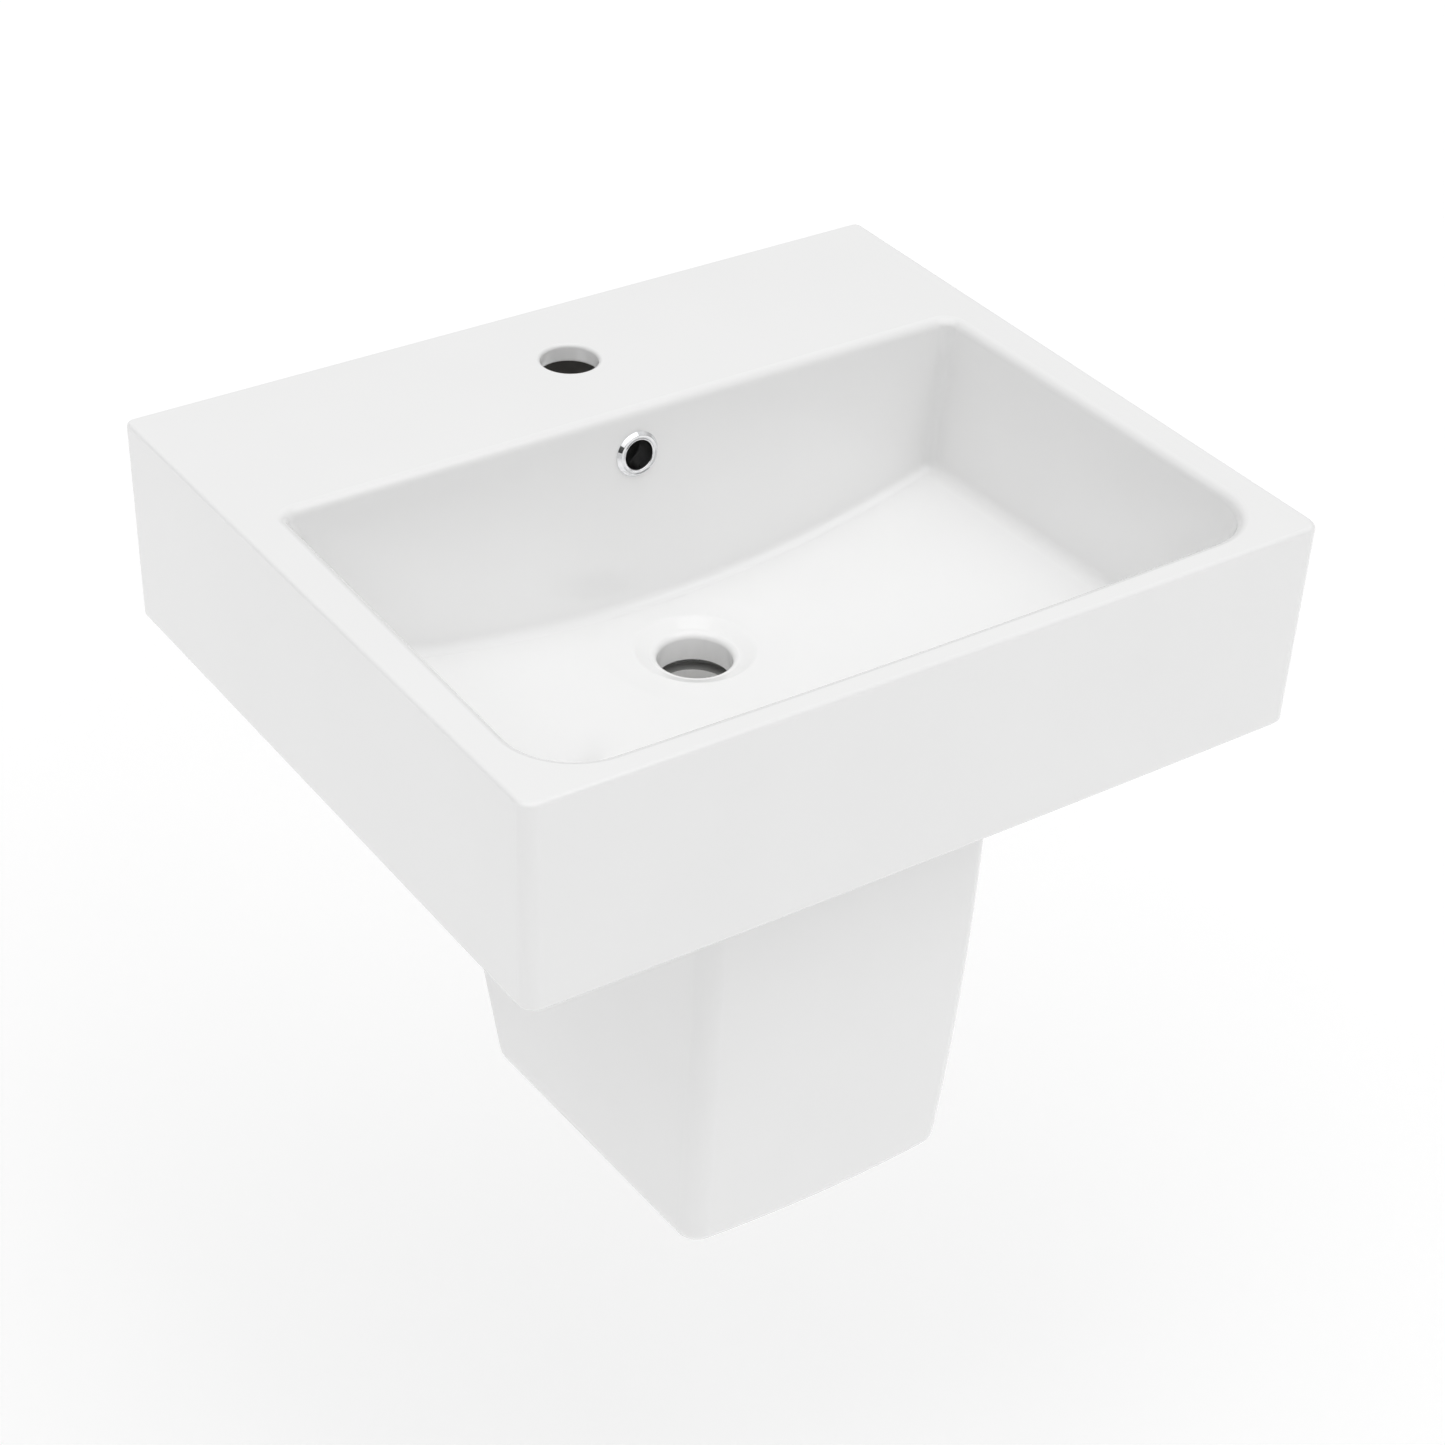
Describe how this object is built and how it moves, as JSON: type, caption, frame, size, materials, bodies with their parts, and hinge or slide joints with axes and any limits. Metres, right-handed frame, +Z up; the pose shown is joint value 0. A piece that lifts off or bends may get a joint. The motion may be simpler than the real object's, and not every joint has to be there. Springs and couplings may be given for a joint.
{
  "type": "pedestal sink",
  "caption": "wall-hung rectangular china basin with a flat deck, one tap hole and an overflow, above a tapered half pedestal that hides the trap",
  "frame": {"origin": "on the wall plane and the plane of symmetry, at the height of the basin's two wall bolts, 70 mm below the rim", "axes": "+X to the right seen from the front, +Y into the wall, +Z up; the bowl reaches towards -Y"},
  "size_m": [0.5198, 0.5115, 0.443],
  "materials": {
    "china_basin": "gloss",
    "china_pedestal": "gloss",
    "chrome": "polished",
    "rubber": "matte",
    "nylon": "satin",
    "zinc_steel": "satin",
    "white_plastic": "satin"
  },
  "bodies": {
    "root": {"basin": "china_basin", "half_pedestal": "china_pedestal", "overflow_ring": "chrome", "overflow_o_ring": "rubber", "basin_wall_plug_left": "nylon", "basin_hanger_bolt_left": "zinc_steel", "basin_bolt_sleeve_left": "white_plastic", "basin_washer_left": "zinc_steel", "basin_nut_left": "zinc_steel", "basin_nut_cap_left": "white_plastic", "pedestal_wall_plug_left": "nylon", "pedestal_hanger_bolt_left": "zinc_steel", "pedestal_stop_nut_left": "zinc_steel", "pedestal_rear_washer_left": "zinc_steel", "pedestal_bush_left": "rubber", "pedestal_front_washer_left": "zinc_steel", "pedestal_front_nut_left": "zinc_steel", "basin_wall_plug_right": "nylon", "basin_hanger_bolt_right": "zinc_steel", "basin_bolt_sleeve_right": "white_plastic", "basin_washer_right": "zinc_steel", "basin_nut_right": "zinc_steel", "basin_nut_cap_right": "white_plastic", "pedestal_wall_plug_right": "nylon", "pedestal_hanger_bolt_right": "zinc_steel", "pedestal_stop_nut_right": "zinc_steel", "pedestal_rear_washer_right": "zinc_steel", "pedestal_bush_right": "rubber", "pedestal_front_washer_right": "zinc_steel", "pedestal_front_nut_right": "zinc_steel", "buffer_pad_rear_left": "rubber", "buffer_pad_front_left": "rubber", "buffer_pad_rear_right": "rubber", "buffer_pad_front_right": "rubber"}
  },
  "joints": []
}
